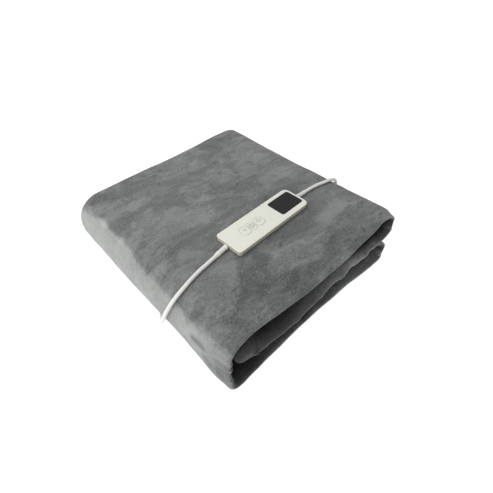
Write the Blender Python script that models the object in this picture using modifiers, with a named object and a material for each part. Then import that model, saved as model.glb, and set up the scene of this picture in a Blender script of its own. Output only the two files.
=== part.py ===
"""Electric heated throw, folded to a slab, with its hand controller and leads.

The throw is one sheet: doubled lengthwise into a strip, both ends of the strip
folded in to the middle, and the whole folded once more like a book.  The
section lies in the XZ plane and runs along Y.  -X is the wrapping fold, +X the
two open loops, and the origin is on the floor under the middle of the pack.
"""

import math
from collections import namedtuple

import bmesh
import bpy
from mathutils import Vector

MM = 0.001

# ---- the folded throw ----
SHEET = 9 * MM  # thickness of the doubled throw
PACK_HEIGHT = 95 * MM
TOP_Z = PACK_HEIGHT - SHEET / 2
BOTTOM_Z = SHEET / 2
PLY_GAP = 3 * MM  # air between the two inner flaps
RIM_SHARE = 0.45  # thickness left at the sheet's own edges
RIM_WIDTH = 7 * MM  # over which the edge rounds off
FOOT_DROP = 0.2 * MM  # the underside is flat, and stands on its four corners
FOOT_REACH = 30 * MM

WRAP_REACH = 176.5 * MM  # middle of the sheet at its furthest, from the origin
WRAP_DEPTH = 51 * MM
UPPER_LOOP_REACH = 179.5 * MM
UPPER_LOOP_DEPTH = 37.5 * MM
LOWER_LOOP_REACH = 168 * MM
LOWER_LOOP_DEPTH = 32 * MM
FOLD_SQUARENESS = 2.3  # 2 is an ellipse
FRONT_SQUARENESS = 7.0  # the wrap is pressed square at the front section face
LOOP_SQUARENESS = 2.8
LOOP_SAG = 5.5 * MM  # how far the upper loop leans out below its middle there
UPPER_HEM_X = -152 * MM
LOWER_HEM_X = -147 * MM

WRAP_PULL = 9 * MM  # how far the wrap draws in at the front section face
UPPER_LOOP_PULL = 3.5 * MM
LOWER_LOOP_FLARE = 1.5 * MM
BACK_PULL = 1 * MM  # and all the folds at the back one
CORNER_LENGTH = 34 * MM
LOOP_CORNER_LENGTH = 20 * MM

# The boundary between the two inner flaps, from the hem to the loops, on the
# front section face, deep inside, and on the back section face.
FlapStation = namedtuple("FlapStation", "x front inside back")
FLAP_STATIONS = (
    FlapStation(-152 * MM, 65 * MM, 52 * MM, 55 * MM),
    FlapStation(-107 * MM, 45 * MM, 50 * MM, 47 * MM),
    FlapStation(-63 * MM, 38 * MM, 49 * MM, 50 * MM),
    FlapStation(5 * MM, 45 * MM, 48 * MM, 57 * MM),
    FlapStation(45 * MM, 54 * MM, 49 * MM, 50 * MM),
    FlapStation(95 * MM, 44 * MM, 49 * MM, 43 * MM),
    FlapStation(142 * MM, 43.5 * MM, 50 * MM, 48 * MM),
)
FLAP_DEPTH = 95 * MM  # how far in from a section face its waves die out

# One row for each run of the sheet, in order: its cells, and where its front
# and back edges lie at its start and at its middle.  A run ends where the next
# one starts.
Run = namedtuple("Run", "name cells front front_middle back back_middle")
RUNS = (
    Run("upper flap", 9, -177 * MM, -180 * MM, 185 * MM, 186 * MM),
    Run("upper loop", 8, -181 * MM, -181 * MM, 188 * MM, 193 * MM),
    Run("top", 18, -177 * MM, -180 * MM, 195 * MM, 193 * MM),
    Run("wrap", 12, -174 * MM, -179.5 * MM, 192 * MM, 190 * MM),
    Run("bottom", 9, -178 * MM, -177 * MM, 185 * MM, 182 * MM),
    Run("lower loop", 8, -183 * MM, -187 * MM, 184 * MM, 186 * MM),
    Run("lower flap", 9, -184 * MM, -181 * MM, 183 * MM, 181 * MM),
)
STRIP_END = Run("hem", 0, -178 * MM, -178 * MM, 182 * MM, 182 * MM)
INNER_CELLS = 17  # along Y, between the two rounded rims

# Slow waves in the top layer: height, and length along X and along Y
TOP_WAVES = (
    (1.6 * MM, 290 * MM, 410 * MM),
    (1.1 * MM, -170 * MM, 260 * MM),
)
LEAD_BAND = (-90 * MM, -24 * MM)  # kept level under the controller and leads
LEAD_BAND_FADE = 45 * MM
TOP_EDGE_DROOP = 2.5 * MM

# ---- the controller ----
# Places on it are measured from its middle, along its length and its width
CONTROLLER_MIDDLE = (12.55 * MM, -53.1 * MM)
CONTROLLER_TURN = math.radians(1.4)
CONTROLLER_LENGTH = 151.5 * MM
CONTROLLER_WIDTH = 49.8 * MM
SEAT_GAP = 0.3 * MM
BASE_HEIGHT = 3 * MM
COVER_HEIGHT = 5 * MM
COVER_CORNERS = (4.6 * MM, 8.8 * MM)  # at its near end and at its display end
COVER_EDGE = 0.9 * MM
BASE_INSET = 0.5 * MM
BASE_EDGE = 0.8 * MM
BASE_Z = PACK_HEIGHT + SEAT_GAP
COVER_Z = BASE_Z + BASE_HEIGHT + SEAT_GAP
COVER_TOP = COVER_Z + COVER_HEIGHT

FITTINGS_Y = 1 * MM
DISPLAY_SIZE = (47.2 * MM, 33.6 * MM, 1.6 * MM)
DISPLAY_FROM_END = 3.9 * MM
DISPLAY_CORNER = 4 * MM
DISPLAY_PROUD = 0.15 * MM

KEY_TRAVEL = 0.8 * MM
KEY_STOP_GAP = 0.7 * MM
KEY_GAP = 0.35 * MM
KEY_HEIGHT = 2.3 * MM
KEY_PROUD = 0.3 * MM
KEY_POCKET = KEY_HEIGHT - KEY_PROUD + KEY_TRAVEL + KEY_STOP_GAP
KEY_WIDTH = 16.4 * MM
# Each key: the middle of its top, its length along X, and its corner radius
Key = namedtuple("Key", "name x length corner")
KEYS = (
    Key("key_power", -39.9 * MM, 14.0 * MM, 4.4 * MM),
    Key("key_heat", -25.5 * MM, 11.2 * MM, 4.4 * MM),
    Key("key_timer", -11.0 * MM, 14.2 * MM, 4.4 * MM),
)

# ---- leads ----
LEAD = 5.5 * MM  # diameter
LEAD_STEP = 2.4 * LEAD
LEAD_RINGS = 2  # bevel resolution
FACE_GAP = 0.3 * MM
LEAD_EXIT_Z = 99.4 * MM
BLANKET_EXIT = 0.9 * MM  # across the controller's near end
BLANKET_EXIT_WAY = (-0.9909, -0.1332, -0.0208)
MAINS_EXIT = -0.4 * MM  # across its display end
MAINS_EXIT_WAY = (0.9999, -0.004, -0.0135)

# Turned strain reliefs, as (distance from the controller, radius)
BLANKET_RELIEF = (
    (0.8 * MM, 3.3 * MM),
    (2.0 * MM, 3.3 * MM),
    (2.3 * MM, 3.9 * MM),
    (5.0 * MM, 3.9 * MM),
    (5.3 * MM, 3.6 * MM),
    (16.2 * MM, 3.5 * MM),
    (16.5 * MM, 3.8 * MM),
    (19.8 * MM, 3.75 * MM),
    (20.2 * MM, 3.3 * MM),
    (24.0 * MM, 3.1 * MM),
)
MAINS_RELIEF = (
    (0.5 * MM, 3.9 * MM),
    (2.6 * MM, 3.9 * MM),
    (3.0 * MM, 3.7 * MM),
    (22.0 * MM, 3.1 * MM),
)

# Blanket lead, in mm: over the top, down the wrapping fold, along the floor in
# the hollow under it, and round the corner to the back edge of the bottom layer
BLANKET_LEAD_ROUTE = (
    (-87.3, -57.5, 98.9),
    (-93.2, -58.3, 98.8),
    (-99.4, -59.1, 98.7),
    (-107.2, -60.2, 98.6),
    (-115.6, -61.2, 98.5),
    (-124.8, -62.8, 98.3),
    (-135.6, -65.2, 98.1),
    (-147.0, -67.4, 96.3),
    (-158.4, -68.7, 92.8),
    (-169.4, -68.6, 85.6),
    (-178.8, -66.9, 74.0),
    (-184.0, -62.9, 59.6),
    (-185.4, -56.0, 44.2),
    (-182.0, -45.0, 27.0),
    (-173.6, -30.0, 12.6),
    (-166.2, -10.0, 4.6),
    (-163.6, 14.0, 3.0),
    (-163.4, 45.0, 3.0),
    (-163.4, 80.0, 3.0),
    (-163.4, 115.0, 3.0),
    (-163.4, 150.0, 3.0),
    (-163.8, 180.0, 3.0),
    (-163.3, 204.0, 3.0),
    (-159.6, 220.0, 3.0),
    (-149.6, 233.0, 3.0),
    (-134.0, 239.8, 3.0),
    (-118.0, 237.8, 3.3),
    (-106.4, 229.4, 4.4),
    (-101.0, 218.8, 5.3),
    (-100.5, 207.2, 5.3),
)
BOOT_X = -100.5 * MM
BOOT_FACE_Y = 184.8 * MM
BOOT_Z = 5.3 * MM
BOOT = (
    (0.0 * MM, 4.7 * MM),
    (4.0 * MM, 4.7 * MM),
    (4.3 * MM, 4.2 * MM),
    (22.0 * MM, 3.3 * MM),
)

# Mains lead, in mm: over the back loop's edge and down to the coil
MAINS_LEAD_ROUTE = (
    (111.0, -51.9, 99.1),
    (117.4, -52.0, 99.0),
    (123.9, -52.2, 98.9),
    (131.4, -52.8, 98.7),
    (140.2, -54.0, 98.5),
    (149.2, -55.9, 98.4),
    (158.2, -57.8, 98.3),
    (166.8, -59.2, 97.6),
    (174.4, -60.0, 95.4),
    (180.6, -60.4, 91.4),
    (185.0, -60.6, 86.0),
    (187.5, -60.7, 79.2),
    (188.3, -60.7, 69.0),
    (188.6, -60.5, 56.0),
    (189.2, -59.2, 42.0),
    (189.9, -54.4, 28.6),
    (190.4, -46.2, 17.0),
    (190.5, -36.4, 8.8),
    (190.5, -27.6, 4.6),
    (190.5, -20.7, 3.5),
)
COIL_MIDDLE = (226 * MM, 0.0)
COIL_TURN_RADIUS = 30 * MM  # of the middle turn
COIL_WIDE = 3  # turns side by side
COIL_HIGH = 3
COIL_SLACK = 0.2 * MM
COIL_EDGE = 2 * MM
MAINS_TAIL_ROUTE = (
    (190.5, 20.7, 13.8),
    (191.2, 33.0, 11.0),
    (193.6, 46.0, 6.8),
    (198.0, 59.0, 3.9),
    (203.6, 71.0, 3.4),
    (208.6, 82.0, 4.6),
    (212.2, 92.0, 7.0),
    (213.0, 98.0, 7.5),
    (213.0, 104.7, 7.5),
)
PLUG_RELIEF = (
    (0.0 * MM, 3.3 * MM),
    (14.0 * MM, 4.2 * MM),
    (16.0 * MM, 4.6 * MM),
)
PLUG_RELIEF_Y = 105 * MM
PLUG_X = 213 * MM
PLUG_Y = 121.3 * MM  # the end that the lead enters
PLUG_NECK = (15 * MM, 14 * MM, 11 * MM)  # length along Y, width, thickness
PLUG_BODY = (22 * MM, 35 * MM, 14 * MM)
PLUG_EDGE = 2.2 * MM
FLOOR_GAP = 0.5 * MM
PIN_SPACING = 18.6 * MM
PIN_RADIUS = 2 * MM
PIN_LENGTH = 19 * MM


def clear_scene():
    for item in list(bpy.data.objects):
        bpy.data.objects.remove(item, do_unlink=True)


def collection(name):
    group = bpy.data.collections.new(name)
    bpy.context.scene.collection.children.link(group)
    return group


def material(name, colour, roughness, metallic=0.0):
    finish = bpy.data.materials.new(name)
    finish.use_nodes = True
    shader = finish.node_tree.nodes["Principled BSDF"]
    shader.inputs["Base Color"].default_value = (*colour, 1.0)
    shader.inputs["Roughness"].default_value = roughness
    shader.inputs["Metallic"].default_value = metallic
    return finish


def add_mesh(name, shape, finish, group):
    """Turns a bmesh into a named, smooth-shaded object."""
    mesh = bpy.data.meshes.new(name)
    shape.to_mesh(mesh)
    shape.free()
    mesh.shade_smooth()
    mesh.set_sharp_from_angle(angle=math.radians(40))
    mesh.materials.append(finish)
    item = bpy.data.objects.new(name, mesh)
    group.objects.link(item)
    return item


def mix(a, b, share):
    return a + (b - a) * share


def ease(share):
    share = min(max(share, 0.0), 1.0)
    return share * share * (3 - 2 * share)


# ---- the sheet ----


def flap_height(x, column):
    """The boundary between the inner flaps at x, eased from station to station."""
    for near, far in zip(FLAP_STATIONS, FLAP_STATIONS[1:]):
        if x <= far.x:
            share = ease((x - near.x) / (far.x - near.x))
            return mix(getattr(near, column), getattr(far, column), share)
    return getattr(FLAP_STATIONS[-1], column)


def flap_middle(x, front_depth, back_depth):
    inside = flap_height(x, "inside")
    front = flap_height(x, "front") - inside
    back = flap_height(x, "back") - inside
    near_front = 1 - ease(front_depth / FLAP_DEPTH)
    near_back = 1 - ease(back_depth / FLAP_DEPTH)
    return inside + front * near_front + back * near_back


def top_height(x, y, edge_depth):
    low, high = LEAD_BAND
    outside = max(low - y, y - high, 0.0)
    free = ease(outside / LEAD_BAND_FADE)
    wave = 0.0
    for height, along_x, along_y in TOP_WAVES:
        phase = 2 * math.pi * (x / along_x + y / along_y)
        wave += height * (1 - math.cos(phase)) / 2
    droop = TOP_EDGE_DROOP * (1 - ease(edge_depth / CORNER_LENGTH))
    return TOP_Z - wave * free - droop


def bottom_height(x, front_depth, back_depth):
    """The middle of the bottom layer: level, and let down at its four corners."""
    corners_x = (WRAP_DEPTH - WRAP_REACH, LOWER_LOOP_REACH - LOWER_LOOP_DEPTH)
    along = min(abs(x - corner_x) for corner_x in corners_x)
    across = abs(min(front_depth, back_depth) - RIM_WIDTH)
    foot = (1 - ease(along / FOOT_REACH)) * (1 - ease(across / FOOT_REACH))
    return BOTTOM_Z + FOOT_DROP * (1 - foot)


def fold_point(centre_x, centre_z, reach, half_height, angle, squareness, sag=0.0):
    """A point on a squared-off ellipse; a negative reach folds towards -X."""
    power = 2 / squareness
    across = abs(math.cos(angle)) ** power
    up = math.copysign(abs(math.sin(angle)) ** power, math.sin(angle))
    return centre_x + (reach - sag * up) * across, centre_z + half_height * up


def section_point(run, share, y, front_depth, back_depth):
    """(x, z) of the middle of the sheet, at a share of the way along one run."""
    edge_depth = min(front_depth, back_depth)
    near_front = 1 - ease(front_depth / CORNER_LENGTH)
    near_end = 1 - ease(front_depth / LOOP_CORNER_LENGTH)
    back_pull = BACK_PULL * (1 - ease(back_depth / CORNER_LENGTH))
    pressed = 1 - ease(front_depth / FLAP_DEPTH)
    wrap_squareness = mix(FOLD_SQUARENESS, FRONT_SQUARENESS, pressed)
    upper_x = UPPER_LOOP_REACH - UPPER_LOOP_DEPTH
    lower_x = LOWER_LOOP_REACH - LOWER_LOOP_DEPTH
    wrap_x = -WRAP_REACH + WRAP_DEPTH
    half_gap = (SHEET + PLY_GAP) / 2
    upper_flap = flap_middle(upper_x, front_depth, back_depth) + half_gap
    lower_flap = flap_middle(lower_x, front_depth, back_depth) - half_gap
    turn = math.pi * (share - 0.5)
    if run == "upper flap":
        x = mix(UPPER_HEM_X, upper_x, share)
        return x, flap_middle(x, front_depth, back_depth) + half_gap
    if run == "upper loop":
        top = top_height(upper_x, y, edge_depth)
        middle, half = (top + upper_flap) / 2, (top - upper_flap) / 2
        reach = UPPER_LOOP_DEPTH - UPPER_LOOP_PULL * near_end - back_pull
        sag = LOOP_SAG * near_end
        return fold_point(upper_x, middle, reach, half, turn, LOOP_SQUARENESS, sag)
    if run == "top":
        x = mix(upper_x, wrap_x, share)
        return x, top_height(x, y, edge_depth)
    if run == "wrap":
        top = top_height(wrap_x, y, edge_depth)
        bottom = bottom_height(wrap_x, front_depth, back_depth)
        middle, half = (top + bottom) / 2, (top - bottom) / 2
        reach = WRAP_PULL * near_front + back_pull - WRAP_DEPTH
        return fold_point(wrap_x, middle, reach, half, -turn, wrap_squareness)
    if run == "bottom":
        x = mix(wrap_x, lower_x, share)
        return x, bottom_height(x, front_depth, back_depth)
    if run == "lower loop":
        bottom = bottom_height(lower_x, front_depth, back_depth)
        middle, half = (lower_flap + bottom) / 2, (lower_flap - bottom) / 2
        reach = LOWER_LOOP_DEPTH + LOWER_LOOP_FLARE * near_end - back_pull
        return fold_point(lower_x, middle, reach, half, turn, LOOP_SQUARENESS)
    x = mix(lower_x, LOWER_HEM_X, share)
    return x, flap_middle(x, front_depth, back_depth) - half_gap


def through_three(start, middle, end, share):
    """A parabola through three values at shares 0, 1/2 and 1."""
    bow = 4 * (middle - (start + end) / 2)
    return mix(start, end, share) + bow * share * (1 - share)


def sheet_stations():
    """Each row of the sheet's grid: its run, the share along it, and its two edges."""
    rows = []
    for run, after in zip(RUNS, RUNS[1:] + (STRIP_END,)):
        last = after is STRIP_END
        for cell in range(run.cells + last):
            share = cell / run.cells
            front = through_three(run.front, run.front_middle, after.front, share)
            back = through_three(run.back, run.back_middle, after.back, share)
            rows.append((run.name, share, front, back))
    return rows


def across_stations():
    """Shares and offsets across the sheet: close together at both rims."""
    rim = (0.0, 0.3 * RIM_WIDTH, RIM_WIDTH)
    shares = [cell / INNER_CELLS for cell in range(INNER_CELLS + 1)]
    front = [(0.0, offset) for offset in rim[:-1]]
    back = [(1.0, -offset) for offset in reversed(rim[:-1])]
    inner = [(share, RIM_WIDTH * (1 - 2 * share)) for share in shares]
    return front + inner + back


def build_throw(finish, group):
    rows = sheet_stations()
    columns = across_stations()
    shape = bmesh.new()
    bmesh.ops.create_grid(
        shape, x_segments=len(rows) - 1, y_segments=len(columns) - 1, size=1
    )
    shape.verts.ensure_lookup_table()
    order = sorted(shape.verts, key=lambda v: (round(v.co.x, 5), round(v.co.y, 5)))
    weights = {}
    for index, vert in enumerate(order):
        run, share, front, back = rows[index // len(columns)]
        across, offset = columns[index % len(columns)]
        y = mix(front, back, across) + offset
        x, z = section_point(run, share, y, y - front, back - y)
        vert.co = (x, y, z)
        rim = index % len(columns) in (0, len(columns) - 1)
        hem = index // len(columns) in (0, len(rows) - 1)
        weights[vert.index] = 0.0 if rim or hem else 1.0
        if index % len(columns) in (1, len(columns) - 2) and not hem:
            weights[vert.index] = 0.75
    item = add_mesh("throw", shape, finish, group)
    body = item.vertex_groups.new(name="body")
    for index, weight in weights.items():
        body.add([index], weight, "REPLACE")
    solid = item.modifiers.new("thickness", "SOLIDIFY")
    solid.thickness = SHEET
    solid.offset = 0
    solid.vertex_group = body.name
    solid.thickness_vertex_group = RIM_SHARE
    return item


# ---- the controller ----


def rounded_block(size, centre, corners, top_edge=0.0, bottom_edge=0.0, segments=3):
    """A box with rounded plan corners, at -X and at +X, and rounded rims."""
    shape = bmesh.new()
    bmesh.ops.create_cube(shape, size=1)
    for vert in shape.verts:
        vert.co = Vector(c * s for c, s in zip(vert.co, size)) + Vector(centre)
    for side, corner in zip((-1, 1), corners):
        uprights = [
            edge
            for edge in shape.edges
            if abs(edge.verts[0].co.z - edge.verts[1].co.z) > size[2] / 2
            and side * (edge.verts[0].co.x - centre[0]) > 0
        ]
        bmesh.ops.bevel(
            shape, geom=uprights, offset=corner, segments=2 * segments, profile=0.5,
            affect="EDGES",
        )
    for level, width in ((size[2] / 2, top_edge), (-size[2] / 2, bottom_edge)):
        if not width:
            continue
        height = centre[2] + level
        rim = [
            edge
            for edge in shape.edges
            if all(abs(vert.co.z - height) < 1e-6 for vert in edge.verts)
        ]
        bmesh.ops.bevel(
            shape, geom=rim, offset=width, segments=segments, profile=0.5,
            affect="EDGES",
        )
    return shape


def on_controller(along, across):
    """The place in the pack's frame of a place on the controller."""
    middle_x, middle_y = CONTROLLER_MIDDLE
    cos, sin = math.cos(CONTROLLER_TURN), math.sin(CONTROLLER_TURN)
    return (
        middle_x + along * cos - across * sin,
        middle_y + along * sin + across * cos,
    )


def set_on_controller(item, along, across, height):
    item.location = (*on_controller(along, across), height)
    item.rotation_euler.z = CONTROLLER_TURN


def cut(item, cutter_shape, name, cutters):
    """Cuts a shape, given in the item's own frame, out of it."""
    cutter = add_mesh(name, cutter_shape, item.data.materials[0], cutters)
    cutter.location = item.location
    cutter.rotation_euler = item.rotation_euler
    cutter.hide_render = True
    cutter.display_type = "WIRE"
    boolean = item.modifiers.new(name, "BOOLEAN")
    boolean.operation = "DIFFERENCE"
    boolean.object = cutter


def build_controller(finishes, group, cutters):
    base_shape = rounded_block(
        (
            CONTROLLER_LENGTH - 2 * BASE_INSET,
            CONTROLLER_WIDTH - 2 * BASE_INSET,
            BASE_HEIGHT,
        ),
        (0, 0, BASE_HEIGHT / 2),
        [corner - BASE_INSET for corner in COVER_CORNERS],
        bottom_edge=BASE_EDGE,
    )
    base = add_mesh("controller_base", base_shape, finishes["ivory"], group)
    set_on_controller(base, 0, 0, BASE_Z)
    cover_shape = rounded_block(
        (CONTROLLER_LENGTH, CONTROLLER_WIDTH, COVER_HEIGHT),
        (0, 0, -COVER_HEIGHT / 2),
        COVER_CORNERS,
        top_edge=COVER_EDGE,
    )
    cover = add_mesh("controller_cover", cover_shape, finishes["ivory"], group)
    set_on_controller(cover, 0, 0, COVER_TOP)
    build_display(cover, finishes, group, cutters)
    for key in KEYS:
        build_key(key, cover, finishes, group, cutters)


def build_display(cover, finishes, group, cutters):
    long_side, short_side, thick = DISPLAY_SIZE
    along = CONTROLLER_LENGTH / 2 - DISPLAY_FROM_END - long_side / 2
    window_shape = rounded_block(
        DISPLAY_SIZE, (0, 0, DISPLAY_PROUD - thick / 2), [DISPLAY_CORNER] * 2
    )
    window = add_mesh("display_window", window_shape, finishes["window"], group)
    set_on_controller(window, along, FITTINGS_Y, COVER_TOP)
    depth = thick - DISPLAY_PROUD + SEAT_GAP
    recess = rounded_block(
        (long_side + 2 * SEAT_GAP, short_side + 2 * SEAT_GAP, 2 * depth),
        (along, FITTINGS_Y, 0),
        [DISPLAY_CORNER + SEAT_GAP] * 2,
    )
    cut(cover, recess, "display_recess", cutters)


def build_key(key, cover, finishes, group, cutters):
    size = (key.length, KEY_WIDTH, KEY_HEIGHT)
    cap = rounded_block(
        size, (0, 0, -KEY_HEIGHT / 2), [key.corner] * 2, top_edge=0.5 * MM
    )
    item = add_mesh(key.name, cap, finishes["key"], group)
    set_on_controller(item, key.x, FITTINGS_Y, COVER_TOP + KEY_PROUD)
    pocket = rounded_block(
        (key.length + 2 * KEY_GAP, KEY_WIDTH + 2 * KEY_GAP, 2 * KEY_POCKET),
        (key.x, FITTINGS_Y, 0),
        [key.corner + KEY_GAP] * 2,
    )
    cut(cover, pocket, key.name + "_pocket", cutters)


# ---- leads ----


def screwed(name, outline, finish, group, steps, closed=False):
    """A turned solid round Z; outline points are (radius, height), outside first."""
    shape = bmesh.new()
    verts = [shape.verts.new((radius, 0, height)) for radius, height in outline]
    for near, far in zip(verts, verts[1:] + (verts[:1] if closed else [])):
        shape.edges.new((near, far))
    item = add_mesh(name, shape, finish, group)
    screw = item.modifiers.new("turn", "SCREW")
    screw.steps = steps
    screw.render_steps = steps
    screw.use_merge_vertices = True
    screw.merge_threshold = 0.00001
    return item


def turned(name, profile, finish, group, start, direction, steps=20):
    """A turned piece from start; its profile is (distance along, radius)."""
    first, last = profile[0][0], profile[-1][0]
    outline = [(0, -first), *((radius, -along) for along, radius in profile)]
    outline.append((0, -last))
    item = screwed(name, outline, finish, group, steps)
    item.location = start
    item.rotation_mode = "QUATERNION"
    down = Vector((0, 0, -1))
    item.rotation_quaternion = down.rotation_difference(Vector(direction))
    return item


def smooth_route(points, step):
    """Points a step apart along one smooth curve through the given ones."""
    given = [Vector(point) * MM for point in points]
    ends = [2 * given[0] - given[1], *given, 2 * given[-1] - given[-2]]
    fine = []
    for four in zip(ends, ends[1:], ends[2:], ends[3:]):
        fine += [curve_point(four, part / 16) for part in range(16)]
    fine.append(given[-1])
    return even_points(fine, step)


def curve_point(four, share):
    """A point between the middle two of four, on the centripetal curve through all."""
    a, b, c, d = four
    ka = 0.0
    kb = ka + (b - a).length ** 0.5
    kc = kb + (c - b).length ** 0.5
    kd = kc + (d - c).length ** 0.5
    k = mix(kb, kc, share)
    ab = a.lerp(b, (k - ka) / (kb - ka))
    bc = b.lerp(c, (k - kb) / (kc - kb))
    cd = c.lerp(d, (k - kc) / (kd - kc))
    abc = ab.lerp(bc, (k - ka) / (kc - ka))
    bcd = bc.lerp(cd, (k - kb) / (kd - kb))
    return abc.lerp(bcd, (k - kb) / (kc - kb))


def even_points(fine, step):
    lengths = [0.0]
    for near, far in zip(fine, fine[1:]):
        lengths.append(lengths[-1] + (far - near).length)
    count = max(2, round(lengths[-1] / step))
    found = []
    place = 0
    for index in range(count + 1):
        want = lengths[-1] * index / count
        while place < len(fine) - 2 and lengths[place + 1] < want:
            place += 1
        span = lengths[place + 1] - lengths[place]
        found.append(fine[place].lerp(fine[place + 1], (want - lengths[place]) / span))
    return found


def tube(name, points, finish, group):
    curve = bpy.data.curves.new(name, "CURVE")
    curve.dimensions = "3D"
    curve.bevel_depth = LEAD / 2
    curve.bevel_resolution = LEAD_RINGS
    curve.use_fill_caps = True
    spline = curve.splines.new("POLY")
    spline.points.add(len(points) - 1)
    for point, place in zip(spline.points, points):
        point.co = (*place, 1)
    curve.materials.append(finish)
    item = bpy.data.objects.new(name, curve)
    group.objects.link(item)
    return item


def build_blanket_lead(finish, group):
    start = (*on_controller(-CONTROLLER_LENGTH / 2, BLANKET_EXIT), LEAD_EXIT_Z)
    way = BLANKET_EXIT_WAY
    turned("blanket_lead_relief", BLANKET_RELIEF, finish, group, start, way)
    tube("blanket_lead", smooth_route(BLANKET_LEAD_ROUTE, LEAD_STEP), finish, group)
    boot_face = (BOOT_X, BOOT_FACE_Y, BOOT_Z)
    turned("blanket_lead_boot", BOOT, finish, group, boot_face, (0, 1, 0))


def build_mains_lead(finish, group):
    start = (*on_controller(CONTROLLER_LENGTH / 2, MAINS_EXIT), LEAD_EXIT_Z)
    turned("mains_lead_relief", MAINS_RELIEF, finish, group, start, MAINS_EXIT_WAY)
    tube("mains_lead_run", smooth_route(MAINS_LEAD_ROUTE, LEAD_STEP), finish, group)
    tube("mains_lead_tail", smooth_route(MAINS_TAIL_ROUTE, LEAD_STEP), finish, group)
    half_width = COIL_WIDE * LEAD / 2 + COIL_SLACK
    height = COIL_HIGH * LEAD + 2 * COIL_SLACK
    inner, outer = COIL_TURN_RADIUS - half_width, COIL_TURN_RADIUS + half_width
    # down the outer side and back up the inner one, with the corners taken off
    outline = (
        (outer - COIL_EDGE, height),
        (outer, height - COIL_EDGE),
        (outer, COIL_EDGE),
        (outer - COIL_EDGE, 0),
        (inner + COIL_EDGE, 0),
        (inner, COIL_EDGE),
        (inner, height - COIL_EDGE),
        (inner + COIL_EDGE, height),
    )
    coil = screwed("mains_lead_coil", outline, finish, group, steps=36, closed=True)
    coil.location = (*COIL_MIDDLE, FLOOR_GAP)


def build_plug(finishes, group):
    lead = finishes["lead"]
    middle_z = FLOOR_GAP + PLUG_BODY[2] / 2
    relief_start = (PLUG_X, PLUG_RELIEF_Y, middle_z)
    turned("plug_relief", PLUG_RELIEF, lead, group, relief_start, (0, 1, 0))
    body_length, body_width, body_thick = PLUG_BODY
    neck_length, neck_width, neck_thick = PLUG_NECK
    shape = bmesh.new()
    bmesh.ops.create_cube(shape, size=1)
    bmesh.ops.scale(shape, vec=(body_width, body_length, body_thick), verts=shape.verts)
    back = min(shape.faces, key=lambda face: face.calc_center_median().y)
    neck = bmesh.ops.extrude_discrete_faces(shape, faces=[back])["faces"][0]
    for vert in neck.verts:
        vert.co.x *= neck_width / body_width
        vert.co.z *= neck_thick / body_thick
        vert.co.y -= neck_length
    edges = list(shape.edges)
    bmesh.ops.bevel(
        shape, geom=edges, offset=PLUG_EDGE, segments=2, profile=0.5, affect="EDGES"
    )
    body = add_mesh("plug_body", shape, lead, group)
    body.location = (PLUG_X, PLUG_Y + neck_length + body_length / 2, middle_z)
    front = PLUG_Y + neck_length + body_length
    pin = ((FACE_GAP, PIN_RADIUS), (PIN_LENGTH - 1 * MM, PIN_RADIUS),
           (PIN_LENGTH, PIN_RADIUS / 2))
    for side, name in ((-1, "plug_pin_left"), (1, "plug_pin_right")):
        start = (PLUG_X + side * PIN_SPACING / 2, front, middle_z)
        turned(name, pin, finishes["pin"], group, start, (0, 1, 0), steps=14)


def main():
    clear_scene()
    group = collection("heated_throw")
    cutters = collection("cutters")
    finishes = {
        "plush": material("plush", (0.17, 0.18, 0.18), 0.95),
        "ivory": material("ivory_plastic", (0.79, 0.78, 0.71), 0.45),
        "window": material("display_window", (0.02, 0.023, 0.021), 0.15),
        "key": material("key_plastic", (0.77, 0.76, 0.69), 0.5),
        "lead": material("lead_sheath", (0.83, 0.82, 0.79), 0.5),
        "pin": material("pin_metal", (0.75, 0.74, 0.72), 0.3, 1.0),
    }
    build_throw(finishes["plush"], group)
    build_controller(finishes, group, cutters)
    build_blanket_lead(finishes["lead"], group)
    build_mains_lead(finishes["lead"], group)
    build_plug(finishes, group)


main()
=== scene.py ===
"""Looks for a folded electric heated throw, its hand controller, leads and plug.

The sheet follows the folds of its solid: doubled into a strip, both ends folded
in to the middle, and folded once more like a book.  Its section lies in the XZ
plane and runs along Y.  -X is the wrapping fold and +X the two open loops.
"""

import math
from collections import namedtuple

import bmesh
import bpy
from bpy.props import FloatProperty, FloatVectorProperty, IntProperty, PointerProperty
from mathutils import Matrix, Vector, noise


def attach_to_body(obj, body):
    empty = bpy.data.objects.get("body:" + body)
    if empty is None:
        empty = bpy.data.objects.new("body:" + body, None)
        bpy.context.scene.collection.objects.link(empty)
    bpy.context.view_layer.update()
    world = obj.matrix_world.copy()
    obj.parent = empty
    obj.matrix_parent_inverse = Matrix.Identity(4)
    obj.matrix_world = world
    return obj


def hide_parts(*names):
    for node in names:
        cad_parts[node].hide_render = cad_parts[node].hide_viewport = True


bl_info = {
    "name": "Folded Heated Throw",
    "version": (1, 0, 0),
    "blender": (4, 5, 0),
    "location": "3D View > Sidebar > Throw",
    "description": "Dresses a folded heated throw in plush, moulded plastic and leads",
    "category": "Object",
}

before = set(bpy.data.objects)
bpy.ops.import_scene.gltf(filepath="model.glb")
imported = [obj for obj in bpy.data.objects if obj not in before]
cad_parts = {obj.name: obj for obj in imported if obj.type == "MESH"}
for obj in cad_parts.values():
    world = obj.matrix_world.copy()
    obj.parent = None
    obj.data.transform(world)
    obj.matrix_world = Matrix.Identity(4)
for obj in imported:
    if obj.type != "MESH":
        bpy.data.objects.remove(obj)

MM = 0.001
BODY = "blanket_body"

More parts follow.
